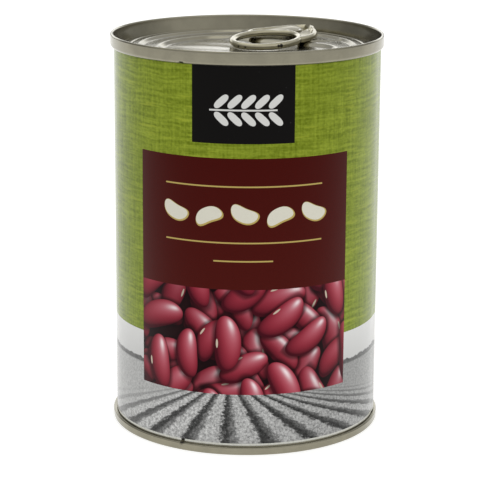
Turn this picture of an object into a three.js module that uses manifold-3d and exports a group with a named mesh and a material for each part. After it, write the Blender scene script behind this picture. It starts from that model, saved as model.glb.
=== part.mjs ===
// A sealed steel food can with a ring-pull lid and a wrapped paper label, standing on its base.
// Millimetres, +Z up, origin at the centre of the base, label front towards -Y.
import * as THREE from "three";
import { mergeVertices } from "three/addons/utils/BufferGeometryUtils.js";
import Module from "manifold-3d";

const wasm = await Module();
wasm.setup();

// Driving dimensions of the can
const canHeight = 110;
const bodyRadius = 36.5;
const seamRadius = 37.8;
const seamRound = 0.45;
const seamLipRound = 0.8;
const topSeamHeight = 3.6;
const bottomSeamHeight = 2.55;
const turnSegments = 84;
const partGap = 0.3;

// Levels of the lid, measured from the base, from the rim down to the finger well
const outerPanelLevel = canHeight - 3.4;
const mainPanelLevel = canHeight - 4.1;
const fingerWellLevel = canHeight - 4.8;
const lidGrooveLevel = canHeight - 5.4;
const lidUndersideLevel = canHeight - 6.1;

// Radii of the lid's panel
const panelStepRadius = 29.4;
const panelStepWidth = 1.4;
const scoreRadius = 32.2;
const scoreDepth = 0.2;
const scoreHalfWidth = 0.25;
const lidShoulderRadius = 33.3;
const chuckWallFoot = 35.6;
const chuckWallTop = seamRadius - 2 * seamRound;

// Finger well: a round hollow cut off by a straight edge across the pull axis
const wellRadius = 24.1;
const wellEdge = 14.0;
const wellCorner = 4.0;
const wellSlope = 1.4;

// Beads beside the nose of the tab, along an arc about a point on the pull axis
const beadArcCentre = 34.0;
const beadArcRadius = 18.4;
const beadHalfWidth = 0.8;
const beadHeight = 0.4;
const beadNearAngle = 148;
const beadFarAngle = 122;

// Pull tab: a ring with a nose, lying along the pull axis and tilted up at the nose
const pullAngle = THREE.MathUtils.degToRad(59.1);
const tabTilt = THREE.MathUtils.degToRad(2.6);
const tabCentre = 10.5;
const tabUnderside = 106.05;
const tabThickness = 1.8;
const ringHalfLength = 11.25;
const ringHalfWidth = 8.6;
const curlHalfWidth = 1.0;
const curlRound = 0.6;
const noseReach = 20.5;
const noseHalfWidth = 4.1;
const noseCorner = 2.4;
const webBottom = 0.7;
const webTop = 1.25;
const noseNotchWidth = 1.3;
const noseNotchLength = 2.6;

// Rivet that holds the tab, formed from the lid
const rivetAlong = 15.9;
const rivetStemRadius = 1.6;
const rivetHeadRadius = 2.5;
const rivetHeadGap = 0.15;
const rivetHeadThickness = 0.25;

// Base end
const basePanelLevel = 3.2;
const baseGrooveLevel = 5.3;
const baseUpperLevel = 5.9;
const footHalfWidth = 0.2;
const baseBeadRadii = [14, 27];
const baseBeadWidth = 4;
const baseBeadHeight = 0.6;

// Paper label
const labelBottom = 2.75;
const labelTop = 106.2;
const labelInnerRadius = 36.6;
const labelOuterRadius = 36.8;
const overlapRise = 0.25;
const overlapEdgeAngle = 98;
const overlapArc = 14;

const steel = new THREE.MeshStandardMaterial({ color: 0xa8a28c, roughness: 0.35, metalness: 1 });
const bodySteel = new THREE.MeshStandardMaterial({ color: 0x9a958a, roughness: 0.45, metalness: 1 });
const tabSteel = new THREE.MeshStandardMaterial({ color: 0xb4ae98, roughness: 0.3, metalness: 1 });
const printedPaper = new THREE.MeshStandardMaterial({ color: 0x76822a, roughness: 0.4, metalness: 0 });

// Points [along, up] on an arc of a circle, angles in degrees, both ends included
function arcPoints(centre, radius, fromDegrees, toDegrees, steps) {
  return Array.from({ length: steps + 1 }, (unused, step) => {
    const angle = THREE.MathUtils.degToRad(fromDegrees + ((toDegrees - fromDegrees) * step) / steps);
    return [centre[0] + radius * Math.cos(angle), centre[1] + radius * Math.sin(angle)];
  });
}

// A profile of [radius, height] points turned about the can's axis
function turned(profile) {
  const points = profile.map(([radius, height]) => new THREE.Vector2(radius, height));
  const geometry = new THREE.LatheGeometry(points, turnSegments);
  geometry.rotateX(Math.PI / 2);
  return geometry;
}

// A flat outline of [x, y] points raised from one height to another, with edges rounded by bevel
function raised(outline, fromHeight, toHeight, bevel = 0, holes = []) {
  const shape = new THREE.Shape(outline.map(([x, y]) => new THREE.Vector2(x, y)));
  shape.holes = holes.map((hole) => new THREE.Path(hole.map(([x, y]) => new THREE.Vector2(x, y))));
  const geometry = new THREE.ExtrudeGeometry(shape, {
    depth: toHeight - fromHeight - 2 * bevel,
    bevelEnabled: bevel > 0,
    bevelThickness: bevel,
    bevelSize: bevel,
    bevelOffset: -bevel,
    bevelSegments: 2,
  });
  geometry.translate(0, 0, fromHeight + bevel);
  return geometry;
}

// The closed solid of a geometry, for cutting and joining
function solidOf(geometry) {
  const bare = geometry.clone();
  bare.deleteAttribute("normal");
  bare.deleteAttribute("uv");
  const merged = mergeVertices(bare, 1e-4);
  return new wasm.Manifold(
    new wasm.Mesh({
      numProp: 3,
      vertProperties: new Float32Array(merged.attributes.position.array),
      triVerts: new Uint32Array(merged.index.array),
    }),
  );
}

// The geometry of a closed solid
function geometryOf(solid) {
  const { vertProperties, triVerts } = solid.getMesh();
  const geometry = new THREE.BufferGeometry();
  geometry.setAttribute("position", new THREE.BufferAttribute(vertProperties, 3));
  geometry.setIndex(new THREE.BufferAttribute(triVerts, 1));
  geometry.computeVertexNormals();
  return geometry;
}

function namedMesh(name, geometry, material) {
  const mesh = new THREE.Mesh(geometry, material);
  mesh.name = name;
  return mesh;
}

// Place of the tab: its own X runs along the pull axis towards the nose, its Z starts at its underside
function tabPlacement() {
  const tilt = new THREE.Matrix4().makeRotationY(-tabTilt);
  const turn = new THREE.Matrix4().makeRotationZ(pullAngle);
  const move = new THREE.Matrix4().makeTranslation(
    tabCentre * Math.cos(pullAngle),
    tabCentre * Math.sin(pullAngle),
    tabUnderside,
  );
  return move.multiply(turn).multiply(tilt);
}

// Body tube with its contents, solid because the can is shut
function canBody() {
  const bottom = baseUpperLevel + partGap;
  const top = lidUndersideLevel - partGap;
  return turned([
    [0, bottom],
    [bodyRadius, bottom],
    [bodyRadius, top],
    [0, top],
  ]);
}

// Outer side of a double seam, from its free lower lip round into the wall it grips
function seamSkirt(lipLevel, inward) {
  const lipCentre = [seamRadius - seamLipRound, lipLevel + inward * seamLipRound];
  return [
    ...arcPoints(lipCentre, seamLipRound, 0, -90 * inward, 3),
    [bodyRadius, lipLevel + inward * partGap],
  ];
}

// Lid before its shaped areas: seam, countersunk groove, scored outer panel and main panel
function lidBlank() {
  const lipLevel = canHeight - topSeamHeight;
  const rimCentre = [seamRadius - seamRound, canHeight - seamRound];
  return turned([
    [0, lidUndersideLevel],
    [bodyRadius, lidUndersideLevel],
    ...seamSkirt(lipLevel, 1).reverse(),
    ...arcPoints(rimCentre, seamRound, 0, 180, 6),
    [chuckWallFoot, lidGrooveLevel + 0.7],
    [chuckWallFoot - 0.35, lidGrooveLevel + 0.15],
    [chuckWallFoot - 0.8, lidGrooveLevel],
    [lidShoulderRadius + 0.9, lidGrooveLevel + 0.25],
    [lidShoulderRadius + 0.5, outerPanelLevel - 0.5],
    [lidShoulderRadius, outerPanelLevel],
    [scoreRadius + scoreHalfWidth, outerPanelLevel],
    [scoreRadius, outerPanelLevel - scoreDepth],
    [scoreRadius - scoreHalfWidth, outerPanelLevel],
    [panelStepRadius + panelStepWidth / 2, outerPanelLevel],
    [panelStepRadius - panelStepWidth / 2, mainPanelLevel],
    [0, mainPanelLevel],
  ]);
}

// Outline of the finger well in the lid's frame, its straight edge across +X
function wellOutline() {
  const cornerX = wellEdge - wellCorner;
  const cornerY = Math.sqrt((wellRadius - wellCorner) ** 2 - cornerX ** 2);
  const turn = THREE.MathUtils.radToDeg(Math.atan2(cornerY, cornerX));
  return [
    ...arcPoints([cornerX, cornerY], wellCorner, 0, turn, 5),
    ...arcPoints([0, 0], wellRadius, turn, 360 - turn, 48).slice(1, -1),
    ...arcPoints([cornerX, -cornerY], wellCorner, -turn, 0, 5),
  ];
}

// Cutter that sinks the finger well into the main panel with a sloped side
function wellCutter() {
  const shape = new THREE.Shape(wellOutline().map(([x, y]) => new THREE.Vector2(x, y)));
  const geometry = new THREE.ExtrudeGeometry(shape, {
    depth: tabThickness,
    bevelEnabled: true,
    bevelThickness: mainPanelLevel - fingerWellLevel,
    bevelSize: wellSlope,
    bevelOffset: -wellSlope / 2,
    bevelSegments: 1,
  });
  geometry.translate(0, 0, mainPanelLevel);
  geometry.rotateZ(pullAngle);
  return geometry;
}

// One of the two raised beads beside the tab's nose; side is 1 or -1
function noseBead(side) {
  const outer = arcPoints([beadArcCentre, 0], beadArcRadius + beadHalfWidth, beadFarAngle, beadNearAngle, 8);
  const inner = arcPoints([beadArcCentre, 0], beadArcRadius - beadHalfWidth, beadNearAngle, beadFarAngle, 8);
  const outline = [...outer, ...inner].map(([x, y]) => [x, side * y]);
  if (side < 0) {
    outline.reverse();
  }
  const geometry = raised(outline, mainPanelLevel - beadHeight, mainPanelLevel + beadHeight, 0.3);
  geometry.rotateZ(pullAngle);
  return geometry;
}

// Rivet with its stem on the panel and its button above the web of the tab, in the tab's frame
function rivet() {
  const headLevel = webTop + rivetHeadGap;
  const stemFoot = mainPanelLevel - tabUnderside - 0.8;
  const geometry = turned([
    [0, stemFoot],
    [rivetStemRadius, stemFoot],
    [rivetStemRadius, headLevel],
    [rivetHeadRadius, headLevel],
    [rivetHeadRadius - 0.3, headLevel + rivetHeadThickness],
    [0, headLevel + rivetHeadThickness],
  ]);
  geometry.translate(rivetAlong, 0, 0);
  geometry.applyMatrix4(tabPlacement());
  return geometry;
}

function topEnd() {
  const beads = [1, -1].map((side) => solidOf(noseBead(side)));
  const shaped = solidOf(lidBlank()).subtract(solidOf(wellCutter()));
  return geometryOf(beads.reduce((whole, bead) => whole.add(bead), shaped).add(solidOf(rivet())));
}

// Base end: seam with a flat foot, countersunk groove and a panel with expansion beads
function bottomEnd() {
  const footCentre = seamRadius - seamRound;
  const beadPoints = baseBeadRadii.flatMap((radius) => [
    [radius - baseBeadWidth / 2, basePanelLevel],
    [radius - baseBeadWidth / 4, basePanelLevel - baseBeadHeight],
    [radius + baseBeadWidth / 4, basePanelLevel - baseBeadHeight],
    [radius + baseBeadWidth / 2, basePanelLevel],
  ]);
  return turned([
    [0, basePanelLevel],
    ...beadPoints,
    [lidShoulderRadius - 0.4, basePanelLevel],
    [lidShoulderRadius + 0.1, basePanelLevel + 0.5],
    [lidShoulderRadius + 0.4, baseGrooveLevel - 0.4],
    [lidShoulderRadius + 1.1, baseGrooveLevel],
    [chuckWallFoot - 0.4, baseGrooveLevel - 0.3],
    [chuckWallFoot, baseGrooveLevel - 1],
    [chuckWallTop, seamRound],
    [chuckWallTop + seamRound / 3, seamRound / 3],
    [footCentre - footHalfWidth, 0],
    [footCentre + footHalfWidth, 0],
    [seamRadius - seamRound / 3, seamRound / 3],
    [seamRadius, seamRound],
    ...seamSkirt(bottomSeamHeight, -1),
    [bodyRadius, baseUpperLevel],
    [0, baseUpperLevel],
  ]);
}

// Outline of the whole tab about the ring's centre, moved out by offset from the curl's centre line.
// In each direction it takes whichever of the ring and the two nose corners reaches furthest.
function tabOutline(offset) {
  const length = ringHalfLength + offset;
  const width = ringHalfWidth + offset;
  const cornerX = noseReach - noseCorner;
  const cornerY = noseHalfWidth - noseCorner;
  return arcPoints([0, 0], 1, 0, 360, 72).slice(0, -1).map(([x, y]) => {
    const ringReach = Math.hypot(length * x, width * y);
    const side = y < 0 ? -1 : 1;
    const noseReachHere = cornerX * x + side * cornerY * y + noseCorner + offset;
    if (ringReach > noseReachHere) {
      return [(length ** 2 * x) / ringReach, (width ** 2 * y) / ringReach];
    }
    return [cornerX + (noseCorner + offset) * x, side * cornerY + (noseCorner + offset) * y];
  });
}

// Ellipse about the ring's centre, moved out by offset from the curl's centre line
function ringOutline(offset) {
  return arcPoints([0, 0], 1, 0, 360, 56).slice(0, -1).map(([x, y]) => [
    (ringHalfLength + offset) * x,
    (ringHalfWidth + offset) * y,
  ]);
}

// Pull tab with a finger hole, a curled edge all round and a thinner web under the rivet
function pullTab() {
  const curl = raised(tabOutline(curlHalfWidth), 0, tabThickness, curlRound, [ringOutline(-curlHalfWidth)]);
  const webArea = (fromHeight, toHeight) =>
    solidOf(raised(tabOutline(-curlHalfWidth), fromHeight, toHeight)).subtract(
      solidOf(raised(ringOutline(curlHalfWidth), fromHeight - 1, toHeight + 1)),
    );
  const rivetHole = raised(
    arcPoints([rivetAlong, 0], rivetStemRadius + partGap, 0, 360, 32).slice(0, -1),
    -1,
    tabThickness + 1,
  );
  const notchEnd = noseReach + 0.3;
  const notchStart = notchEnd - noseNotchLength;
  const notch = raised(
    [
      [notchStart, -noseNotchWidth / 2],
      [notchEnd, -noseNotchWidth / 2],
      [notchEnd, noseNotchWidth / 2],
      [notchStart, noseNotchWidth / 2],
    ],
    webTop,
    tabThickness + 1,
  );
  const tab = solidOf(curl)
    .subtract(webArea(webTop, tabThickness + 1))
    .subtract(webArea(-1, webBottom))
    .subtract(solidOf(rivetHole))
    .subtract(solidOf(notch));
  return geometryOf(tab).applyMatrix4(tabPlacement());
}

// Label sleeve, thicker where its end laps over its start; angles run from the front to the right
function paperLabel() {
  const edge = overlapEdgeAngle - 90;
  const outer = arcPoints([0, 0], labelOuterRadius, edge, edge + 360 - overlapArc, 92);
  const lapped = arcPoints([0, 0], labelOuterRadius + overlapRise, edge - overlapArc + 1, edge - 0.2, 4);
  const inner = arcPoints([0, 0], labelInnerRadius, 0, 360, turnSegments).slice(0, -1);
  return raised([...outer, ...lapped], labelBottom, labelTop, 0, [inner]);
}

const can = new THREE.Group();
can.add(namedMesh("can_body", canBody(), bodySteel));
can.add(namedMesh("bottom_end", bottomEnd(), steel));
can.add(namedMesh("top_end", topEnd(), steel));
can.add(namedMesh("pull_tab", pullTab(), tabSteel));
can.add(namedMesh("label", paperLabel(), printedPaper));

export default can;
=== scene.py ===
"""A shut steel food can with a ring-pull lid and a printed paper label, on a pale floor."""
import math
import random

import bpy
import numpy as np
from mathutils import Euler, Matrix, Vector


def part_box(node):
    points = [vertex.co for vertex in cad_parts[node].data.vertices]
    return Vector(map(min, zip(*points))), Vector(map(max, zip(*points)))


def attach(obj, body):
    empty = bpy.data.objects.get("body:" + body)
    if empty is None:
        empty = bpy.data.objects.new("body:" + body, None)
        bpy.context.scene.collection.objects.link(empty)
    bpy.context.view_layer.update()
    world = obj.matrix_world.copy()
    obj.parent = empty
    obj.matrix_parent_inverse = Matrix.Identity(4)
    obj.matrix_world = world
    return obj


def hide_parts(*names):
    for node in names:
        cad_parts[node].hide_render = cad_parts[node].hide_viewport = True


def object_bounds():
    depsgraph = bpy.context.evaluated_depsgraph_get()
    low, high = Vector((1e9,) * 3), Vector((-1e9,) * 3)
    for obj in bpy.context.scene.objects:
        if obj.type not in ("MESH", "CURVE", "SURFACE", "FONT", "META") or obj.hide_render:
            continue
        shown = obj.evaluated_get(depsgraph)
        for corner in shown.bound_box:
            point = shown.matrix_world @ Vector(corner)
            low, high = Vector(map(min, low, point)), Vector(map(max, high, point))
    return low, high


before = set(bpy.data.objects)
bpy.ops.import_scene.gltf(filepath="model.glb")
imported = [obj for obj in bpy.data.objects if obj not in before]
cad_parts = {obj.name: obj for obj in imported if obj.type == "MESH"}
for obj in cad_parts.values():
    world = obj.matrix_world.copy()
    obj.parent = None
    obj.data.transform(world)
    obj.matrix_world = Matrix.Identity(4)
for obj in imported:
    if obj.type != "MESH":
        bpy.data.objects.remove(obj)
cad_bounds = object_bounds()

MM = 0.001

# Sizes of the can, in millimetres, from the frame where it gives them
can_height = cad_bounds[1][2] / MM
seam_radius = cad_bounds[1][0] / MM
body_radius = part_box("can_body")[1][0] / MM
label_drop = 0.3
label_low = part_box("label")[0][2] / MM - label_drop
label_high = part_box("label")[1][2] / MM
lid_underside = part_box("top_end")[0][2] / MM
base_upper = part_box("bottom_end")[1][2] / MM
label_radius = 36.8
label_inner_radius = 36.6
columns = 360
sharp_angle = math.radians(40)

# Rolled seams: the roundings, the levels of the free lips, and how a lip turns in to the body
seam_round = 0.45
top_lip_round = 1.0
bottom_lip_round = 0.35
top_lip = can_height - 3.75
bottom_lip = 2.15
lip_gap = 0.1
lip_rise = 0.1
lip_depth = 0.3

# Side seam of the tube, where it shows at the rolled seams
weld_angle = math.radians(-27.2)
weld_half_width = 0.6
weld_dip = 0.4

# Dark mark over the side seam: where it ends and where it is full, from its middle
mark_aside = (0.65, 0.45)
top_mark = (0.75, 0.55)
bottom_mark = (0.4, 0.25)

# Lid levels and radii
outer_panel = can_height - 3.4
main_panel = can_height - 4.1
finger_well = can_height - 4.8
lid_groove = can_height - 5.4
lid_groove_round = 0.8
shoulder_round = 0.5
panel_step_radius = 29.4
panel_step_width = 1.6
score_radius = 32.2
score_depth = 0.18
score_half_width = 0.22
shoulder_radius = 33.3
wall_foot_radius = 35.6
wall_top_radius = seam_radius - 2 * seam_round
wall_knee_radius = wall_top_radius - 0.1
wall_knee_depth = 1.8
well_radius = 24.1
well_edge = 15.5
well_corner = 2.5
well_edge_slope = 0.45
well_dish = 0.2
ripple_height = 0.03
ripple_pitch = (0.2, 0.7)
bead_centre = 34.0
bead_radius = 18.4
bead_half_width = 0.9
bead_height = 0.4
bead_ends = (math.radians(122), math.radians(148))
thumb_place = (6.5, 9.0)
thumb_reach = (11, 9)
thumb_depth = 0.45

# Pull tab: X runs along the pull axis to the nose, Y to the far side
pull_angle = math.radians(59.1)
tab_tilt = math.radians(2.6)
tab_centre = 10.5
tab_underside = 106.05
tab_thickness = 1.8
tab_columns = 480
tab_rings = 30
ring_half_length = 11.25
ring_half_width = 8.6
curl_half_width = 1.0
curl_power = 2.3
nose_reach = 20.5
nose_half_width = 4.1
nose_corner = 2.4
web_bottom = 0.35
web_top = 1.3
web_start = 1.15
web_blend = 0.75
web_near_drop = 0.4
web_foot_drop = 0.35
far_thinning = 0.4
tab_sag = 0.28
tab_roll = 0.025
nose_support = 0.6
notch_half_width = 0.65
notch_aside = -1.8
notch_start = 15.5
notch_end = 22.0
notch_blend = 0.25
notch_floor = web_bottom + 0.1
rivet_along = 15.9
rivet_stem = 1.6
rivet_head = 2.2
rivet_edge_round = 0.25
rivet_gap = -0.83
rivet_head_thickness = 0.2
rivet_sink = 0.4

# Dark spots on the tab's curl: direction from the ring's centre in degrees, and size
dark_spots = ((171, 0.38), (182, 0.34), (229.5, 0.5), (234.5, 0.62))

# Base levels and ribs
base_panel = 3.2
base_panel_round = 0.6
base_panel_edge = shoulder_radius - 0.4
base_groove = 5.3
base_groove_round = 0.7
base_ribs = (14.0, 27.0)
base_rib_depth = 0.6
base_rib_reach = 1.6
base_rib_blend = 1.25

# Fields of the label: arc from the front's centre line and height, in millimetres
square_field = (-14.7, 12.9, 85.7, label_high)
panel_field = (-31.6, 30.2, 46.2, 81.8)
picture_field = (-31.6, 30.2, 16.9, 46.2)
green_low = 31.2
margin_top = label_low + 0.55
horizon = 22.2
row_spacing = 0.62
rows_aside = 4.5

# Paper sleeve and its lapped end
label_columns = 240
label_rows = 40
overlap_edge = math.radians(98)
overlap_arc = math.radians(14)
overlap_rise = 0.25
overlap_blend = 0.12
overlap_step = 0.003

# Printed beans: size of a grid cell, half size of a bean, layers and the light drawn on them
bean_cell = (17.5, 11.0, 1.0)
bean_half = (7.9, 3.7)
bean_layers = 7
bean_turn_step = 0.83
bean_seed = 5
bean_light = Vector((0.36, 0.48, 0.8)).normalized()[:]

# Metals: colour, roughness and turning lines per millimetre
tinplate_finish = {"tone": (0.27, 0.252, 0.188), "roughness": 0.17, "streaks": 0.9}
# Painted light: the tab's tone is the tinplate's made about one and a half times brighter, for the light on
# the near side of its curl
tab_lit_finish = {"tone": (0.42, 0.39, 0.28), "roughness": 0.22, "streaks": 0.7}
mark_tone = (0.02, 0.018, 0.014)


# Mesh helpers

def smooth_step(value):
    """0 below 0, 1 above 1, and a smooth rise between."""
    value = np.clip(value, 0.0, 1.0)
    return value * value * (3 - 2 * value)


def arc_points(centre, radius, start, end, steps):
    """Points on an arc, angles in degrees, both ends included."""
    angles = np.radians(np.linspace(start, end, steps + 1))
    return [(centre[0] + radius * math.cos(a), centre[1] + radius * math.sin(a)) for a in angles]


def mesh_object(name, vertices, faces, materials, face_materials=None):
    """A smooth-shaded mesh from vertices in millimetres."""
    mesh = bpy.data.meshes.new(name)
    mesh.from_pydata([tuple(v) for v in np.asarray(vertices) * MM], [], faces)
    for material in materials:
        mesh.materials.append(material)
    if face_materials is not None:
        mesh.polygons.foreach_set("material_index", face_materials)
    mesh.polygons.foreach_set("use_smooth", [True] * len(mesh.polygons))
    mesh.set_sharp_from_angle(angle=sharp_angle)
    mesh.validate()
    mesh.update()
    piece = bpy.data.objects.new(name, mesh)
    bpy.context.scene.collection.objects.link(piece)
    return piece


def ring_faces(ring_count, column_count):
    """Quads between consecutive closed rings of vertices."""
    faces = []
    for ring in range(ring_count - 1):
        for column in range(column_count):
            after = (column + 1) % column_count
            low = ring * column_count
            high = low + column_count
            faces.append((low + column, low + after, high + after, high + column))
    return faces


def closing_faces(ring_count, column_count):
    """Quads that join the last ring of a loop back to the first."""
    last = (ring_count - 1) * column_count
    faces = []
    for column in range(column_count):
        after = (column + 1) % column_count
        faces.append((last + column, last + after, after, column))
    return faces


def turned(profile, column_count=columns, reshape=None):
    """Vertices and faces of a profile of (radius, height) turned about Z, with both ends on the axis."""
    angles = np.arange(column_count) * 2 * math.pi / column_count
    rings = []
    for radius, height in profile[1:-1]:
        level = np.full(column_count, height)
        ring = np.stack([radius * np.sin(angles), -radius * np.cos(angles), level], -1)
        rings.append(reshape(ring) if reshape else ring)
    vertices = np.concatenate([*rings, [[0, 0, profile[0][1]], [0, 0, profile[-1][1]]]])
    faces = ring_faces(len(rings), column_count)
    start = len(vertices) - 2
    end = len(vertices) - 1
    last = (len(rings) - 1) * column_count
    for column in range(column_count):
        after = (column + 1) % column_count
        faces.append((start, after, column))
        faces.append((end, last + column, last + after))
    return vertices, faces


def placed(vertices, matrix):
    """Vertices moved by a 4x4 matrix."""
    turn = np.array(matrix)
    return np.asarray(vertices) @ turn[:3, :3].T + turn[:3, 3]


def joined(*parts):
    """Several (vertices, faces) as one."""
    vertices = []
    faces = []
    for part_vertices, part_faces in parts:
        shift = sum(len(v) for v in vertices)
        vertices.append(part_vertices)
        faces.extend(tuple(i + shift for i in face) for face in part_faces)
    return np.concatenate(vertices), faces


# Rolled seams

def dip_at_weld(ring, lip):
    """Presses a seam's lip in a little where it crosses the tube's side seam."""
    angle = np.arctan2(ring[:, 0], -ring[:, 1])
    near = np.exp(-((angle - weld_angle) * body_radius / weld_half_width) ** 4)
    near *= np.exp(-((ring[:, 2] - lip) / weld_half_width) ** 4)
    near *= np.hypot(ring[:, 0], ring[:, 1]) > body_radius + 2 * lip_gap
    factor = 1 - weld_dip * near / seam_radius
    ring[:, 0] *= factor
    ring[:, 1] *= factor
    return ring


def skirt(lip, lip_round, inward):
    """Outer side of a seam, round its free lip to the body; inward is 1 if the lip is its foot, or -1."""
    corner = (seam_radius - lip_round, lip + inward * lip_round)
    rounding = arc_points(corner, lip_round, 0, -90 * inward, 10)
    under = (body_radius + lip_gap, lip + inward * lip_rise)
    return [*rounding, under, (body_radius, lip + inward * lip_depth)]


def rolled_edge(centre, start, end, steps=16):
    """Rounded edge of a seam about a centre."""
    return arc_points(centre, seam_round, start, end, steps)


# Shape of the lid

def well_distance(along, across):
    """Distance outside the rounded outline of the finger well, negative inside."""
    radial = np.hypot(along, across) - (well_radius - well_corner)
    straight = well_corner + well_edge_slope * (along - well_edge)
    outside = np.hypot(np.maximum(radial, 0), np.maximum(straight, 0))
    return np.minimum(np.maximum(radial, straight), 0) + outside - well_corner


def bead_distance(along, across):
    """Distance from the middle line of the two beads beside the tab's nose."""
    angle = np.arctan2(np.abs(across), along - bead_centre)
    nearest = np.clip(angle, *bead_ends)
    middle_x = bead_centre + bead_radius * np.cos(nearest)
    middle_y = bead_radius * np.sin(nearest)
    return np.hypot(along - middle_x, np.abs(across) - middle_y)


def panel_height(x, y):
    """Height of the lid's panel inside its shoulder."""
    radius = np.hypot(x, y)
    along = x * math.cos(pull_angle) + y * math.sin(pull_angle)
    across = x * math.sin(pull_angle) - y * math.cos(pull_angle)
    step = smooth_step((radius - panel_step_radius) / panel_step_width + 0.5)
    height = main_panel + (outer_panel - main_panel) * step
    sunk = smooth_step(0.5 - well_distance(along, across) / panel_step_width)
    height -= (main_panel - finger_well) * sunk
    bead = np.clip(1 - (bead_distance(along, across) / bead_half_width) ** 2, 0, 1)
    height += bead_height * bead ** 1.5
    height -= score_depth * np.exp(-((radius - score_radius) / score_half_width) ** 2)
    dish = well_dish * (radius / well_radius) ** 2 * sunk
    thumb_x = (x - thumb_place[0]) / thumb_reach[0]
    thumb_y = (y - thumb_place[1]) / thumb_reach[1]
    dish += thumb_depth * np.exp(-thumb_x ** 4 - thumb_y ** 2) * sunk
    ripple = ripple_height * np.sin(y * ripple_pitch[1] + ripple_pitch[0] * x) * sunk
    return height - dish + ripple


def lid_reshape(ring):
    """Gives the panel its pressed shape and the seam's lip its dip at the side seam."""
    radius = np.hypot(ring[:, 0], ring[:, 1])
    panel = (radius < shoulder_radius) & (ring[:, 2] > main_panel - shoulder_round)
    ring[panel, 2] = panel_height(ring[panel, 0], ring[panel, 1])
    return dip_at_weld(ring, top_lip)


def top_end_mesh():
    """Closed surface of the lid: underside, seam, chuck wall, groove and pressed panel."""
    rim = (seam_radius - seam_round, can_height - seam_round)
    wall_foot = (wall_foot_radius, lid_groove + lid_groove_round)
    groove_outer = (wall_foot_radius - lid_groove_round, lid_groove + lid_groove_round)
    groove_inner = (shoulder_radius + 1.15, lid_groove + shoulder_round)
    shoulder_foot = (shoulder_radius + 0.6, outer_panel - shoulder_round)
    shoulder = (shoulder_radius + 0.05, outer_panel - shoulder_round)
    outer_radii = np.linspace(shoulder_radius - 0.01, 28.4, 24)
    inner_radii = np.arange(28.1, 0.4, -0.33)
    profile = [
        (0, lid_underside),
        (body_radius, lid_underside),
        *reversed(skirt(top_lip, top_lip_round, 1)),
        *rolled_edge(rim, 0, 180),
        (wall_knee_radius, can_height - wall_knee_depth),
        wall_foot,
        *arc_points(groove_outer, lid_groove_round, 0, -90, 8)[1:],
        *arc_points(groove_inner, shoulder_round, -90, -180, 6),
        shoulder_foot,
        *arc_points(shoulder, shoulder_round, 20, 90, 6),
        *[(radius, outer_panel) for radius in (*outer_radii, *inner_radii)],
        (0, float(panel_height(0.0, 0.0))),
    ]
    return turned(profile, reshape=lid_reshape)


# Shape of the pull tab and its rivet

def tab_place():
    """The tab's own frame: X along the pull axis to the nose, Z up from its underside."""
    spot = Vector((tab_centre * math.cos(pull_angle), tab_centre * math.sin(pull_angle), tab_underside))
    turn = Matrix.Rotation(pull_angle, 4, "Z") @ Matrix.Rotation(-tab_tilt, 4, "Y")
    return Matrix.Translation(spot) @ turn


def rivet_mesh():
    """Stem and button that hold the tab, with a shallow hollow in the button's top."""
    head = web_top + rivet_gap
    foot = main_panel - tab_underside - rivet_sink
    top = head + rivet_head_thickness
    edge = (rivet_head - rivet_edge_round, top)
    profile = [
        (0, foot),
        (rivet_stem, foot),
        (rivet_stem, head),
        *arc_points(edge, rivet_edge_round, -60, 80, 6),
        (rivet_head * 0.55, top + 0.12),
        (rivet_head * 0.45, top - 0.02),
        (0, top - 0.05),
    ]
    vertices, faces = turned(profile, 64)
    vertices[:, 0] += rivet_along
    return placed(vertices, tab_place()), faces


def tab_outline(offset, angles):
    """Outline of the whole tab in each direction, moved out from the curl's middle line by offset."""
    length = ring_half_length + offset
    width = ring_half_width + offset
    corner_x = nose_reach - nose_corner
    corner_y = nose_half_width - nose_corner
    radius = nose_corner + offset
    dense = np.linspace(0, 2 * math.pi, 6 * tab_columns + 1)[:-1]
    x, y = np.cos(dense), np.sin(dense)
    ring_reach = np.hypot(length * x, width * y)
    side = np.where(y < 0, -1.0, 1.0)
    nose = corner_x * x + side * corner_y * y + radius
    from_ring = ring_reach > nose
    outline_x = np.where(from_ring, length ** 2 * x / ring_reach, corner_x + radius * x)
    outline_y = np.where(from_ring, width ** 2 * y / ring_reach, side * corner_y + radius * y)
    polar = np.unwrap(np.arctan2(outline_y, outline_x))
    reach = np.interp(angles, polar, np.hypot(outline_x, outline_y), period=2 * math.pi)
    return np.stack([reach * np.cos(angles), reach * np.sin(angles)], -1)


def hole_outline(angles):
    """Edge of the finger hole in each direction from the ring's centre."""
    length = ring_half_length - curl_half_width
    width = ring_half_width - curl_half_width
    reach = 1 / np.hypot(np.cos(angles) / length, np.sin(angles) / width)
    return np.stack([reach * np.cos(angles), reach * np.sin(angles)], -1)


def distance_to_line(points, line):
    """Shortest distance from each point to a closed line."""
    steps = np.roll(line, -1, axis=0) - line
    offsets = points[:, None, :] - line[None]
    share = np.clip((offsets * steps).sum(-1) / (steps * steps).sum(-1), 0, 1)
    gaps = offsets - share[..., None] * steps
    return np.sqrt((gaps ** 2).sum(-1)).min(1)


def tab_levels(edge_distance, flat):
    """Lower and upper height of the tab at a distance from its nearest edge."""
    along, across = flat[:, 0], flat[:, 1]
    half = tab_thickness / 2
    thin_end = smooth_step((along - 6) / 8)
    thin_side = smooth_step((across + 1) / 4)
    thin = far_thinning * thin_end * thin_side
    inward = np.clip(1 - edge_distance / curl_half_width, 0, 1)
    rounding = (1 - inward ** curl_power) ** (1 / curl_power)
    fall = smooth_step((edge_distance / curl_half_width - web_start) / web_blend)
    near_side = smooth_step((3 - across) / 7)
    ring_end = smooth_step((18 - along) / 7)
    web_level = web_top - web_near_drop * near_side - web_foot_drop * ring_end
    upper = half + (half - thin) * rounding - (tab_thickness - thin - web_level) * fall
    lower = half - half * rounding + web_bottom * fall
    return lower, upper


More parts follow.
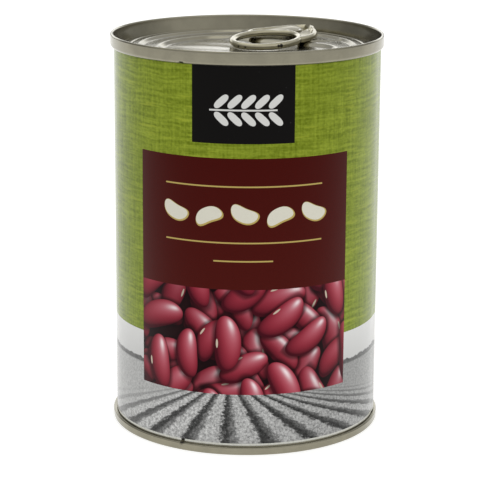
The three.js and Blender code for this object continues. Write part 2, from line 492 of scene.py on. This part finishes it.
def notch_share(flat):
    """1 inside the notch across the curl at the tab's nose, 0 outside."""
    along, across = flat[:, 0], np.abs(flat[:, 1] - notch_aside)
    beside = smooth_step((notch_half_width - across) / notch_blend + 0.5)
    from_start = smooth_step((along - notch_start) / notch_blend + 0.5)
    return beside * from_start * smooth_step((notch_end - along) / notch_blend + 0.5)


def tab_mesh():
    """Closed surface of the pull tab, as upper and lower sheets that meet at both edges."""
    angles = np.linspace(0, 2 * math.pi, tab_columns + 1)[:-1]
    outer = tab_outline(curl_half_width, angles)
    inner = hole_outline(angles)
    shares = 0.5 - 0.5 * np.cos(np.linspace(0, math.pi, tab_rings + 1))
    upper_rings = []
    lower_rings = []
    for share in shares:
        flat = inner + (outer - inner) * share
        distance = np.minimum(distance_to_line(flat, outer), distance_to_line(flat, inner))
        if share in (shares[0], shares[-1]):
            distance = distance * 0
        lower, upper = tab_levels(distance, flat)
        upper -= notch_share(flat) * (upper - notch_floor)
        support = nose_support * smooth_step((flat[:, 0] - 14) / 7)
        sag = (tab_sag - tab_roll * flat[:, 1]) * (1 - support)
        lower -= sag
        upper -= sag
        upper_rings.append(np.column_stack([flat, upper]))
        lower_rings.append(np.column_stack([flat, lower]))
    loop = upper_rings + lower_rings[-2:0:-1]
    faces = ring_faces(len(loop), tab_columns) + closing_faces(len(loop), tab_columns)
    return placed(np.concatenate(loop), tab_place()), faces


# Shape of the base end

def base_reshape(ring):
    """Presses the ribs into the base panel and gives the seam's lip its dip at the side seam."""
    radius = np.hypot(ring[:, 0], ring[:, 1])
    panel = (radius < base_panel_edge) & (ring[:, 2] < base_upper - 1)
    for rib in base_ribs:
        away = np.abs(radius[panel] - rib) / base_rib_blend
        ring[panel, 2] -= base_rib_depth * smooth_step(base_rib_reach - away)
    return dip_at_weld(ring, bottom_lip)


def bottom_end_mesh():
    """Closed surface of the base end: ribbed panel, groove, chuck wall, foot and seam."""
    foot = (seam_radius - seam_round, seam_round)
    panel_edge = (base_panel_edge, base_panel + base_panel_round)
    groove_level = base_groove - base_groove_round
    groove_inner = (shoulder_radius + 1.1, groove_level)
    groove_outer = (wall_foot_radius - base_groove_round, groove_level)
    profile = [
        (0, base_panel),
        *[(radius, base_panel) for radius in np.arange(0.6, shoulder_radius - 0.5, 0.5)],
        *arc_points(panel_edge, base_panel_round, -90, -10, 6),
        (shoulder_radius + 0.4, groove_level),
        *arc_points(groove_inner, base_groove_round, 180, 90, 6),
        *arc_points(groove_outer, base_groove_round, 90, 0, 6),
        (wall_knee_radius, wall_knee_depth),
        *rolled_edge(foot, 180, 270)[:-1],
        (foot[0], 0),
        *rolled_edge(foot, 270, 360)[1:],
        *skirt(bottom_lip, bottom_lip_round, -1),
        (body_radius, base_upper),
        (0, base_upper),
    ]
    return turned(profile, reshape=base_reshape)


# Shape of the label

def label_angles():
    """Directions of the sleeve's columns: evenly spread, with the edges of the fields and of the lap."""
    edges = {value / label_radius for field in (square_field, panel_field) for value in field[:2]}
    edges |= {edge + math.pi for edge in edges}
    least_gap = 0.008
    least_lap_gap = 0.01
    angles = []
    for angle in np.arange(0, label_columns) * 2 * math.pi / label_columns:
        gaps = [abs((angle - edge + math.pi) % (2 * math.pi) - math.pi) for edge in edges]
        if min(gaps) > least_gap and abs(angle - overlap_edge) > least_lap_gap:
            angles.append(angle)
    angles += [edge % (2 * math.pi) for edge in edges] + [overlap_edge - overlap_step, overlap_edge]
    return np.array(sorted(angles))


def label_mesh(field_material):
    """Closed paper sleeve; field_material gives the slot of a face from its arc and height."""
    angles = label_angles()
    from_edge = (overlap_edge - overlap_step - angles) % (2 * math.pi)
    lapped = smooth_step((overlap_arc + overlap_blend - from_edge) / overlap_blend)
    radius = label_radius + overlap_rise * lapped
    field_edges = {margin_top, picture_field[2], green_low, panel_field[2], panel_field[3], square_field[2]}
    heights = sorted({*field_edges, *np.linspace(label_low, label_high, label_rows)})
    rings = [(label_inner_radius + 0 * radius, height) for height in heights[::-1]]
    rings += [(radius, height) for height in heights]
    count = len(angles)
    vertices = np.concatenate([
        np.column_stack([reach * np.sin(angles), -reach * np.cos(angles), np.full(count, height)])
        for reach, height in rings
    ])
    faces = ring_faces(len(rings), count) + closing_faces(len(rings), count)
    slots = []
    for face in faces:
        middle = vertices[list(face)].mean(0)
        on_outside = np.hypot(middle[0], middle[1]) > (label_radius + label_inner_radius) / 2
        side = -1.0 if middle[1] > 0 else 1.0
        arc = label_radius * math.atan2(side * middle[0], -side * middle[1])
        slots.append(field_material(arc, middle[2]) if on_outside else 0)
    return vertices, faces, slots


# Shader nodes

class Tree:
    """Adds nodes to one shader tree and links them as it goes."""

    def __init__(self, tree):
        self.tree = tree

    def node(self, kind, inputs=None, **settings):
        made = self.tree.nodes.new(kind)
        for name, value in settings.items():
            setattr(made, name, value)
        for key, value in (inputs or {}).items():
            self.feed(made.inputs[key], value)
        return made

    def feed(self, socket, value):
        if isinstance(value, bpy.types.NodeSocket):
            self.tree.links.new(value, socket)
        else:
            socket.default_value = value

    def math(self, operation, *values):
        made = self.node("ShaderNodeMath", operation=operation)
        for socket, value in zip(made.inputs, values):
            self.feed(socket, value)
        return made.outputs[0]

    def times(self, first, second):
        return self.math("MULTIPLY", first, second)

    def plus(self, first, second):
        return self.math("ADD", first, second)

    def minus(self, first, second):
        return self.math("SUBTRACT", first, second)

    def unsigned(self, value):
        return self.math("ABSOLUTE", value)

    def square_sum(self, first, second):
        return self.plus(self.times(first, first), self.times(second, second))

    def vector(self, x, y, z=0.0):
        return self.node("ShaderNodeCombineXYZ", {"X": x, "Y": y, "Z": z}).outputs[0]

    def scaled(self, x, x_scale, y, y_scale, z=0.0):
        """A vector of two values, each with its own scale."""
        return self.vector(self.times(x, x_scale), self.times(y, y_scale), z)

    def split(self, vector):
        """x, y and z of a vector."""
        return self.node("ShaderNodeSeparateXYZ", {0: vector}).outputs[:]

    def vector_math(self, operation, first, second=(0.0, 0.0, 0.0), output=0):
        made = self.node("ShaderNodeVectorMath", {0: first, 1: second}, operation=operation)
        return made.outputs[output]

    def turn(self, vector, angle):
        """The vector turned by minus the angle about Z."""
        values = {"Vector": vector, "Angle": angle}
        return self.node("ShaderNodeVectorRotate", values, rotation_type="Z_AXIS", invert=True).outputs[0]

    def ramp(self, value, low, high, to_low=0.0, to_high=1.0, smooth=True):
        """Maps low to to_low and high to to_high, and holds both beyond them."""
        made = self.node("ShaderNodeMapRange", interpolation_type="SMOOTHSTEP" if smooth else "LINEAR")
        names = ("Value", "From Min", "From Max", "To Min", "To Max")
        for name, item in zip(names, (value, low, high, to_low, to_high)):
            self.feed(made.inputs[name], item)
        return made.outputs[0]

    def spread(self, noise, to_low=0.0, to_high=1.0, half=0.2, smooth=True):
        """Maps noise from 0.5 - half to 0.5 + half, where most of it lies, and holds it beyond."""
        return self.ramp(noise, 0.5 - half, 0.5 + half, to_low, to_high, smooth)

    def band(self, value, middle, outer, inner):
        """1 within inner of the middle, 0 beyond outer."""
        return self.ramp(self.unsigned(self.minus(value, middle)), outer, inner)

    def mix(self, factor, under, over):
        made = self.node("ShaderNodeMix", data_type="RGBA", blend_type="MIX", clamp_factor=True)
        self.feed(made.inputs[0], factor)
        self.feed(made.inputs[6], colour(under))
        self.feed(made.inputs[7], colour(over))
        return made.outputs[2]

    def warm_grey(self, value):
        """A grey value as a very slightly warm colour."""
        values = {0: value, 1: value, 2: self.times(value, 0.99)}
        return self.node("ShaderNodeCombineColor", values).outputs[0]

    def noise(self, vector, scale=1.0, detail=2.0, roughness=0.5):
        values = {"Vector": vector, "Scale": scale, "Detail": detail, "Roughness": roughness}
        return self.node("ShaderNodeTexNoise", values).outputs[0]

    def bump(self, height, strength, distance):
        values = {"Height": height, "Strength": strength, "Distance": distance}
        return self.node("ShaderNodeBump", values).outputs[0]


def colour(value):
    """A plain colour given as three numbers gets its alpha."""
    return (*value, 1.0) if isinstance(value, tuple) and len(value) == 3 else value


def new_material(name, **constants):
    """A material with one Principled shader; constants set its sockets."""
    material = bpy.data.materials.new(name)
    material.use_nodes = True
    tree = Tree(material.node_tree)
    shader = material.node_tree.nodes["Principled BSDF"]
    for key, value in constants.items():
        shader.inputs[key.replace("_", " ").title()].default_value = value
    return material, tree, shader


def place_nodes(tree):
    """Object coordinates in millimetres: the point itself, x, y and z."""
    coordinates = tree.node("ShaderNodeTexCoord").outputs["Object"]
    point = tree.vector_math("MULTIPLY", coordinates, (1 / MM,) * 3)
    return (point, *tree.split(point))


def face_arc(tree, x, y):
    """Arc in millimetres from the middle of the nearer face of the label, front or back."""
    across = tree.times(tree.times(x, tree.math("SIGN", y)), -1.0)
    angle = tree.math("ARCTAN2", across, tree.unsigned(y))
    return tree.times(angle, label_radius)


def sleeve_arc(tree, x, y):
    """Arc in millimetres round the whole sleeve, with its jump at the lapped edge."""
    turn = math.pi - overlap_edge
    cosine, sine = math.cos(turn), math.sin(turn)
    turned_x = tree.plus(tree.times(x, cosine), tree.times(y, -sine))
    turned_y = tree.plus(tree.times(x, sine), tree.times(y, cosine))
    angle = tree.math("ARCTAN2", turned_x, tree.times(turned_y, -1.0))
    return tree.times(angle, label_radius)


# Metal

def metal_material(name, tone, roughness, streaks):
    """Lacquered tinplate: a khaki metal with faint turning lines and mottling under a clear coat."""
    material, tree, shader = new_material(name, metallic=1.0, coat_weight=0.3, coat_roughness=0.17)
    point, x, y, z = place_nodes(tree)
    radius = tree.math("SQRT", tree.square_sum(x, y))
    lines = tree.noise(tree.scaled(radius, streaks, z, streaks), detail=1.0)
    mottle = tree.noise(point, 0.22, 3.0, 0.6)
    light = tuple(c * 1.06 for c in tone)
    dark = tuple(c * 0.95 for c in tone)
    tree.feed(shader.inputs["Base Color"], tree.mix(tree.spread(mottle, half=0.15), dark, light))
    rough = tree.spread(lines, roughness * 0.9, roughness * 1.15)
    tree.feed(shader.inputs["Roughness"], rough)
    tree.feed(shader.inputs["Normal"], tree.bump(lines, strength=0.05, distance=0.00002))
    return material, tree, shader, (point, x, y, z)


def darken(tree, shader, mark):
    """Lays a dark mark over what already feeds the base colour."""
    base = shader.inputs["Base Color"].links[0].from_socket
    tree.feed(shader.inputs["Base Color"], tree.mix(mark, base, mark_tone))


def side_seam_mark(tree, x, y):
    """1 on a narrow upright strip over the tube's side seam, 0 off it."""
    angle = tree.math("ARCTAN2", x, tree.times(y, -1.0))
    aside = tree.unsigned(tree.minus(angle, weld_angle))
    return tree.ramp(tree.times(aside, body_radius), *mark_aside)


def tinplate_material():
    """Tinplate of the ends, dark where the tube's side seam crosses the rolled lips."""
    material, tree, shader, (_, x, y, z) = metal_material("tinplate", **tinplate_finish)
    radius = tree.math("SQRT", tree.square_sum(x, y))
    on_seam = tree.math("GREATER_THAN", radius, body_radius + 0.5)
    mark = tree.times(side_seam_mark(tree, x, y), on_seam)
    top = tree.band(z, top_lip, *top_mark)
    bottom = tree.band(z, bottom_lip, *bottom_mark)
    darken(tree, shader, tree.times(mark, tree.math("MAXIMUM", top, bottom)))
    return material


def tab_material():
    """Metal of the tab, its tone painted brighter than the lid's tinplate as painted light on its curl, with
    a few dark spots on the near side of the curl.
    """
    material, tree, shader, (point, *_) = metal_material("tab_metal", **tab_lit_finish)
    outline = tab_outline(curl_half_width * 0.95, np.radians([angle for angle, _ in dark_spots]))
    level = np.full(len(outline), tab_thickness * 0.3)
    spots = placed(np.column_stack([outline, level]), tab_place())
    for spot, (_, size) in zip(spots, dark_spots):
        away = tree.vector_math("DISTANCE", point, tuple(spot), "Value")
        darken(tree, shader, tree.ramp(away, size, size * 0.7))
    return material


# Print

def print_shader(name):
    """Printed paper with a satin finish; returns its material, tree, shader and coordinates."""
    material, tree, shader = new_material(name)
    shader.inputs["IOR"].default_value = 1.43
    shader.inputs["Specular Tint"].default_value = (0.05, 0.05, 0.05, 1.0)
    point, x, y, z = place_nodes(tree)
    tree.feed(shader.inputs["Roughness"], tree.spread(tree.noise(point, 3.0), 0.12, 0.18))
    waves = tree.noise(point, 0.12)
    tree.feed(shader.inputs["Normal"], tree.bump(waves, strength=0.15, distance=0.0003))
    return material, tree, shader, (point, x, y, z)


def green_material():
    """Woven cloth print: fine upright and level threads, with a few bright level ones."""
    material, tree, shader, (point, x, y, z) = print_shader("green_weave")
    dark_thread = (0.135, 0.182, 0.01)
    light_thread = (0.31, 0.385, 0.038)
    bright_thread = (0.4, 0.455, 0.045)
    shade = (0.1, 0.14, 0.004)
    arc = sleeve_arc(tree, x, y)
    upright = tree.noise(tree.scaled(arc, 1.25, z, 0.07), 1.0, 1.0, 0.6)
    sway = tree.noise(tree.scaled(arc, 0.04, z, 0.06, 3.0), 2.4, 1.0)
    swayed = tree.plus(z, tree.times(sway, 2.2))
    level = tree.noise(tree.scaled(arc, 0.07, swayed, 1.05), 1.0, 2.0, 0.6)
    fine = tree.noise(tree.scaled(arc, 1.1, z, 1.3), 1.0, 1.0, 0.6)
    weave = tree.plus(tree.times(upright, 0.26), tree.times(level, 0.46))
    weave = tree.plus(weave, tree.times(fine, 0.28))
    base = tree.mix(tree.spread(weave, half=0.13, smooth=False), dark_thread, light_thread)
    uneven = tree.noise(tree.scaled(arc, 0.1, z, 0.9, 7.0), 1.0, 1.0)
    base = tree.mix(tree.ramp(uneven, 0.6, 0.7, 0.0, 0.4), base, bright_thread)
    broad = tree.noise(point, 0.05)
    base = tree.mix(tree.spread(broad, 0.0, 0.22), base, shade)
    tree.feed(shader.inputs["Base Color"], base)
    return material


def near_rows(tree, point, y, across, depth):
    """Grey of the ploughed rows: lit ridges and leafy shade between them."""
    row_light = 0.5
    row_shade = (0.06, 0.2)
    leaf_scale = 7.0
    leaf_wobble = 0.42
    row_start = math.pi
    away_scale = 20.0
    away = tree.math("DIVIDE", away_scale, depth)
    leaves = tree.noise(tree.scaled(across, leaf_scale, away, leaf_scale), 1.0, 4.0, 0.75)
    wobble = tree.times(tree.minus(leaves, 0.5), leaf_wobble)
    rows = tree.times(tree.plus(across, wobble), 2 * math.pi / row_spacing)
    rows = tree.plus(rows, row_start)
    ridge = tree.ramp(tree.math("COSINE", rows), -0.6, 0.3)
    facing = tree.times(tree.math("SINE", rows), tree.unsigned(y))
    shade = tree.ramp(facing, 0.3 * label_radius, -0.9 * label_radius, *row_shade)
    speckle = tree.spread(tree.noise(point, 1.5, 3.0, 0.8), 0.45, 1.3, half=0.14, smooth=False)
    lit_part = tree.times(ridge, tree.times(speckle, row_light))
    dark_part = tree.times(tree.minus(1.0, ridge), tree.times(speckle, shade))
    return tree.plus(lit_part, dark_part)


def ground_print(tree, point, x, y, z):
    """Grey of the whole field: rows near the middle that blend into even grain far out."""
    arc = face_arc(tree, x, y)
    leftward = tree.times(x, y)
    depth = tree.math("MAXIMUM", tree.minus(horizon, z), 0.25)
    aside = tree.times(tree.unsigned(y), rows_aside / label_radius)
    across = tree.math("DIVIDE", tree.plus(arc, aside), depth)
    near = near_rows(tree, point, y, across, depth)
    far = tree.spread(tree.noise(point, 1.8, 3.0, 0.7), 0.28, 0.5, smooth=False)
    reach = tree.plus(tree.times(leftward, 0.5 / label_radius ** 2), 1.2)
    blend = tree.ramp(tree.times(tree.unsigned(across), reach), 2.0, 6.0)
    ground = tree.plus(tree.times(near, tree.minus(1.0, blend)), tree.times(far, blend))
    fade = tree.plus(tree.times(leftward, 0.32 / label_radius ** 2), 0.98)
    return tree.times(ground, fade)


def landscape_material():
    """Grey print of ploughed rows running out from the horizon under a pale sky."""
    material, tree, shader, (point, x, y, z) = print_shader("field_rows")
    rough_line = tree.noise(point, 0.4, 3.0, 0.5)
    tree_top = tree.spread(rough_line, horizon + 0.7, horizon + 1.6, smooth=False)
    sky = tree.ramp(z, horizon + 2, green_low, 0.62, 0.72, smooth=False)
    is_sky = tree.ramp(tree.minus(z, tree_top), -0.15, 0.25)
    woods = tree.spread(tree.noise(point, 0.9, 4.0, 0.7), 0.08, 0.18, smooth=False)
    above = tree.mix(is_sky, tree.warm_grey(woods), tree.warm_grey(sky))
    is_ground = tree.ramp(tree.minus(z, horizon), 0.2, -0.4)
    ground = ground_print(tree, point, x, y, z)
    shown = tree.mix(is_ground, above, tree.warm_grey(ground))
    tree.feed(shader.inputs["Base Color"], shown)
    return material


def bean_group():
    """Node group that prints one layer of lit kidney beans, each in its own cell of a turned grid."""
    dark_skin = (0.06, 0.006, 0.012)
    red_skin = (0.4, 0.035, 0.06)
    sheen = (0.66, 0.27, 0.33)
    glint = (0.98, 0.86, 0.88)
    eye_tone = (0.6, 0.5, 0.4)
    deep_shade = (0.02, 0.004, 0.006)
    gap_shade = (0.01, 0.004, 0.005)
    group = bpy.data.node_groups.new("bean_layer", "ShaderNodeTree")
    sockets = {"Under": "Color", "Point": "Vector", "Shift": "Vector", "Turn": "Float", "Seed": "Float",
               "Share": "Float", "Shadow": "Float"}
    for name, kind in sockets.items():
        group.interface.new_socket(name=name, in_out="INPUT", socket_type="NodeSocket" + kind)
    group.interface.new_socket(name="Colour", in_out="OUTPUT", socket_type="NodeSocketColor")
    tree = Tree(group)
    given = tree.node("NodeGroupInput").outputs
    # The cell that a point lies in, and four random numbers of that cell
    moved = tree.vector_math("ADD", tree.turn(given["Point"], given["Turn"]), given["Shift"])
    in_cells = tree.vector_math("DIVIDE", moved, bean_cell)
    cell = tree.vector_math("FLOOR", in_cells)
    inside = tree.vector_math("SUBTRACT", tree.vector_math("SUBTRACT", in_cells, cell), (0.5, 0.5, 0.0))
    seeded = {"Vector": cell, "W": given["Seed"]}
    draw = tree.node("ShaderNodeTexWhiteNoise", seeded, noise_dimensions="4D").outputs
    first, second, third = tree.node("ShaderNodeSeparateColor", {0: draw["Color"]}).outputs
    fourth = tree.math("FRACT", tree.times(draw["Value"], 7.31))
    # The point in the bean's own frame, where the outline is a bent oval of half size 1
    own_turn = tree.times(tree.minus(first, 0.5), 0.9)
    jitter = tree.scaled(tree.minus(second, 0.5), 1.6, tree.minus(third, 0.5), 2.0)
    local = tree.vector_math("SUBTRACT", tree.vector_math("MULTIPLY", inside, bean_cell), jitter)
    u, v, _ = tree.split(tree.turn(local, own_turn))
    size = tree.ramp(fourth, 0.0, 1.0, 0.88, 1.06, smooth=False)
    u = tree.math("DIVIDE", u, tree.times(size, bean_half[0]))
    v = tree.math("DIVIDE", v, tree.times(size, bean_half[1]))
    bend = tree.times(tree.minus(second, 0.5), 1.1)
    v = tree.plus(v, tree.times(bend, tree.minus(tree.times(u, u), 0.35)))
    reach = tree.plus(tree.math("POWER", tree.unsigned(u), 2.4), tree.times(v, v))
    # Light on its rounded skin
    crown = tree.math("SQRT", tree.math("MAXIMUM", tree.minus(1.0, reach), 0.0))
    normal = tree.turn(tree.vector(tree.times(u, 0.6), v, crown), tree.times(own_turn, -1.0))
    normal = tree.vector_math("NORMALIZE", tree.turn(normal, tree.times(given["Turn"], -1.0)))
    lit = tree.math("MAXIMUM", tree.vector_math("DOT_PRODUCT", normal, bean_light, "Value"), 0.0)
    body = tree.mix(tree.ramp(lit, 0.1, 0.95, smooth=False), dark_skin, red_skin)
    body = tree.mix(tree.times(tree.math("POWER", lit, 7.0), 0.62), body, sheen)
    body = tree.mix(tree.times(tree.math("POWER", lit, 45.0), 0.85), body, glint)
    eye = tree.square_sum(tree.times(u, 5.5), tree.times(tree.plus(v, 0.8), 11.0))
    eye = tree.times(tree.ramp(eye, 1.0, 0.5), tree.math("GREATER_THAN", third, 0.6))
    body = tree.mix(eye, body, eye_tone)
    body = tree.mix(given["Shadow"], body, deep_shade)
    # Shade round the bean, kept off the cell's edges, and the bean itself
    there = tree.math("LESS_THAN", draw["Value"], given["Share"])
    edges = tree.vector_math("SUBTRACT", (0.5, 0.5, 0.5), tree.vector_math("ABSOLUTE", inside))
    edge_x, edge_y, _ = tree.split(edges)
    edge = tree.ramp(tree.math("MINIMUM", edge_x, edge_y), 0.0, 0.06)
    halo = tree.times(tree.ramp(reach, 1.8, 0.95, 0.0, 0.75), tree.times(edge, there))
    under = tree.mix(halo, given["Under"], gap_shade)
    shown = tree.mix(tree.times(tree.ramp(reach, 1.0, 0.93), there), under, body)
    tree.node("NodeGroupOutput", {"Colour": shown})
    return group


def picture_material():
    """Heap of glossy red kidney beans, printed layer over layer."""
    material, tree, shader, (_, x, y, z) = print_shader("bean_picture")
    flat = tree.vector(face_arc(tree, x, y), z)
    group = bean_group()
    draw = random.Random(bean_seed)
    shown = (0.015, 0.005, 0.006, 1.0)
    for layer in range(bean_layers):
        made = tree.node("ShaderNodeGroup", node_tree=group)
        depth = 1 - layer / (bean_layers - 1)
        values = {
            "Under": shown,
            "Point": flat,
            "Shift": (draw.uniform(0, bean_cell[0]), draw.uniform(0, bean_cell[1]), 0.0),
            "Turn": layer * bean_turn_step + draw.uniform(-0.2, 0.2),
            "Seed": float(layer),
            "Share": 0.55 + 0.35 * depth,
            "Shadow": 0.32 * depth,
        }
        for key, value in values.items():
            tree.feed(made.inputs[key], value)
        shown = made.outputs[0]
    tree.feed(shader.inputs["Base Color"], shown)
    return material


def bean_shape(tree, flat, centre, half, turn, bend):
    """1 inside a plain bean silhouette, 0 outside."""
    values = {"Vector": flat, "Location": (*centre, 0.0), "Rotation": (0.0, 0.0, turn), "Scale": (*half, 1.0)}
    u, v, _ = tree.split(tree.node("ShaderNodeMapping", values, vector_type="TEXTURE").outputs[0])
    v = tree.plus(v, tree.times(tree.times(u, u), bend))
    reach = tree.plus(tree.math("POWER", tree.unsigned(u), 3.2), tree.times(v, v))
    return tree.ramp(reach, 1.04, 0.94)


def line_shape(tree, arc, z, middle, half_width, height, half_height):
    """1 on a thin level line, 0 off it."""
    soft = 0.05
    beside = tree.band(arc, middle, half_width + soft, half_width - soft)
    above = tree.band(z, height, half_height + soft, half_height - soft)
    return tree.times(beside, above)


def panel_material():
    """Maroon panel with a plain ornament: a row of cream beans between thin gold lines."""
    material, tree, shader, (point, x, y, z) = print_shader("maroon_panel")
    upper_maroon = (0.061, 0.0055, 0.004)
    lower_maroon = (0.074, 0.0085, 0.0065)
    grain_tone = (0.045, 0.006, 0.005)
    cream = (0.72, 0.7, 0.6)
    gold = (0.5, 0.38, 0.12)
    bean_spacing = 9.6
    bean_level = 66.6
    cream_half = (3.75, 1.9)
    rim_half = (4.0, 2.15)
    line_half_height = 0.2
    gold_lines = ((74.2, 22.0), (59.0, 22.0), (54.0, 8.0))
    arc = face_arc(tree, x, y)
    flat = tree.vector(arc, z)
    lower = tree.ramp(z, panel_field[2], panel_field[3], 1.0, 0.0, smooth=False)
    base = tree.mix(lower, upper_maroon, lower_maroon)
    grain = tree.noise(point, 2.5)
    base = tree.mix(tree.spread(grain, 0.0, 0.16, half=0.15), base, grain_tone)
    middle = (panel_field[0] + panel_field[1]) / 2
    for step in range(-2, 3):
        turn = 0.4 if step % 2 else -0.4
        bend = 0.45 if step % 2 else -0.45
        centre = (middle + step * bean_spacing, bean_level)
        rim_centre = (centre[0] + 0.15, centre[1] - 0.2)
        base = tree.mix(bean_shape(tree, flat, rim_centre, rim_half, turn, bend), base, gold)
        base = tree.mix(bean_shape(tree, flat, centre, cream_half, turn, bend), base, cream)
    for height, half_width in gold_lines:
        line = line_shape(tree, arc, z, middle, half_width, height, line_half_height)
        base = tree.mix(line, base, gold)
    tree.feed(shader.inputs["Base Color"], base)
    return material


def square_material():
    """Black square with a plain sprig of leaves in white."""
    material, tree, shader, (point, x, y, z) = print_shader("black_square")
    black = (0.0075, 0.007, 0.0068)
    speck_tone = (0.05, 0.05, 0.05)
    white = (0.7, 0.7, 0.68)
    stem_level = 94.6
    stem_half = (9.0, 0.22)
    leaf_start = 1.4
    leaf_spacing = 3.6
    leaf_aside = 2.3
    leaf_half = (2.4, 0.95)
    leaf_turn = 0.75
    arc = face_arc(tree, x, y)
    flat = tree.vector(arc, z)
    speck = tree.noise(point, 1.1, 1.0)
    base = tree.mix(tree.ramp(speck, 0.76, 0.8, 0.0, 0.5), black, speck_tone)
    middle = (square_field[0] + square_field[1]) / 2
    stem = line_shape(tree, arc, z, middle, stem_half[0], stem_level, stem_half[1])
    base = tree.mix(stem, base, white)
    for step in range(-2, 3):
        for side in (-1, 1):
            centre = (middle + step * leaf_spacing + leaf_start, stem_level + side * leaf_aside)
            leaf = bean_shape(tree, flat, centre, leaf_half, side * leaf_turn, 0.0)
            base = tree.mix(leaf, base, white)
    tree.feed(shader.inputs["Base Color"], base)
    return material


def margin_material():
    """Unprinted paper at the lower edge and inside, with the dark mark over the tube's side seam."""
    material, tree, shader, (point, x, y, _) = print_shader("bare_paper")
    dull_paper = (0.66, 0.66, 0.6)
    clean_paper = (0.78, 0.78, 0.73)
    tone = tree.mix(tree.spread(tree.noise(point, 1.5, 3.0)), dull_paper, clean_paper)
    tree.feed(shader.inputs["Base Color"], tone)
    darken(tree, shader, side_seam_mark(tree, x, y))
    return material


def label_field(arc, height):
    """Slot in label_materials of the label's outside at an arc and height."""
    def inside(field):
        return field[0] < arc < field[1] and field[2] < height < field[3]
    if height < margin_top:
        return 0
    if inside(square_field):
        return 1
    if inside(panel_field):
        return 2
    if inside(picture_field):
        return 3
    return 4 if height > green_low else 5


# Pieces

tinplate = tinplate_material()
tab_metal = tab_material()

lid = mesh_object("lid", *joined(top_end_mesh(), rivet_mesh()), [tinplate])
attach(lid, "root")
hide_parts("top_end")

tab = mesh_object("ring_pull", *tab_mesh(), [tab_metal])
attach(tab, "root")
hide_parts("pull_tab")

base_end = mesh_object("base", *bottom_end_mesh(), [tinplate])
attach(base_end, "root")
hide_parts("bottom_end")

label_vertices, label_faces, label_slots = label_mesh(label_field)
label_materials = [
    margin_material(),
    square_material(),
    panel_material(),
    picture_material(),
    green_material(),
    landscape_material(),
]
sleeve = mesh_object("paper_label", label_vertices, label_faces, label_materials, label_slots)
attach(sleeve, "root")
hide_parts("label")

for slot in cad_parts["can_body"].material_slots:
    slot.material = tinplate


# Floor, camera and light

def floor_plane():
    """Large pale floor with a little painted glow, so that it stays white under the can."""
    mesh = bpy.data.meshes.new("floor")
    half = 4.0
    corners = [(-half, -half, 0), (half, -half, 0), (half, half, 0), (-half, half, 0)]
    mesh.from_pydata(corners, [], [(0, 1, 2, 3)])
    plane = bpy.data.objects.new("floor", mesh)
    bpy.context.scene.collection.objects.link(plane)
    material, tree, shader = new_material("floor", roughness=0.9, emission_strength=0.7)
    point, x, y, _ = place_nodes(tree)
    # Painted light pool: the floor's colour and glow fall off a little in front of the can and towards the
    # sides
    behind = tree.minus(y, tree.times(tree.unsigned(x), 0.6))
    near = tree.ramp(behind, -260.0, -60.0, 0.8, 1.0)
    grain = tree.spread(tree.noise(point, 0.02), 0.52, 0.55, smooth=False)
    tree.feed(shader.inputs["Base Color"], tree.warm_grey(tree.times(grain, near)))
    tree.feed(shader.inputs["Emission Color"], tree.warm_grey(near))
    mesh.materials.append(material)


def photo_camera():
    """Camera at the photograph's viewing angle."""
    data = bpy.data.cameras.new("camera")
    data.sensor_width = 36.0
    data.lens = 147.1
    data.clip_start, data.clip_end = 0.01, 20
    camera = bpy.data.objects.new("camera", data)
    bpy.context.scene.collection.objects.link(camera)
    pitch, yaw, roll = math.radians(13.99), math.radians(0.178), math.radians(0.31)
    turn = Euler((math.pi / 2 - pitch, 0, yaw)).to_matrix() @ Matrix.Rotation(roll, 3, "Z")
    place = (0, -0.5395, 0.1852)
    camera.matrix_world = Matrix.Translation(place) @ turn.to_4x4()
    bpy.context.scene.camera = camera


def soft_box(name, place, size, strength, aim):
    """Square area light aimed at a point."""
    data = bpy.data.lights.new(name, "AREA")
    data.shape = "SQUARE"
    data.size = size
    data.energy = strength
    box = bpy.data.objects.new(name, data)
    bpy.context.scene.collection.objects.link(box)
    box.location = place
    box.rotation_euler = (Vector(aim) - Vector(place)).to_track_quat("-Z", "Y").to_euler()


def studio_world():
    """White to the camera; for light, a bright band behind the can, a soft glow and a brighter top."""
    world = bpy.data.worlds.new("studio")
    world.use_nodes = True
    bpy.context.scene.world = world
    tree = Tree(world.node_tree)
    background = world.node_tree.nodes["Background"]
    output = world.node_tree.nodes["World Output"]
    direction = tree.node("ShaderNodeTexCoord").outputs["Generated"]
    x, y, z = tree.split(direction)
    # The band, between two heights and only behind the can
    band = tree.times(tree.ramp(z, 0.07, 0.15, 0.0, 1.35), tree.ramp(z, 0.42, 0.3))
    band = tree.times(band, tree.ramp(y, 0.6, 0.92))
    # The glow, which is stronger in front and on the right
    glow = tree.times(tree.ramp(y, -0.5, 0.3, 0.6, 0.35), tree.ramp(x, -0.9, 0.9, 0.8, 1.2))
    top = tree.ramp(z, 0.35, 0.6, 0.0, 0.35)
    level = tree.plus(tree.plus(glow, band), top)
    tree.feed(background.inputs["Color"], tree.warm_grey(level))
    plain = tree.node("ShaderNodeBackground", {"Color": (1, 1, 1, 1), "Strength": 1.0})
    seen = tree.node("ShaderNodeLightPath").outputs["Is Camera Ray"]
    mixed = tree.node("ShaderNodeMixShader", {0: seen, 1: background.outputs[0], 2: plain.outputs[0]})
    tree.feed(output.inputs["Surface"], mixed.outputs[0])


photo_camera()
floor_plane()
studio_world()
soft_box("overhead", place=(-0.3, 0.4, 1.3), size=1.0, strength=2.0, aim=(0, 0, 0.06))
bpy.context.scene.view_settings.view_transform = "Standard"
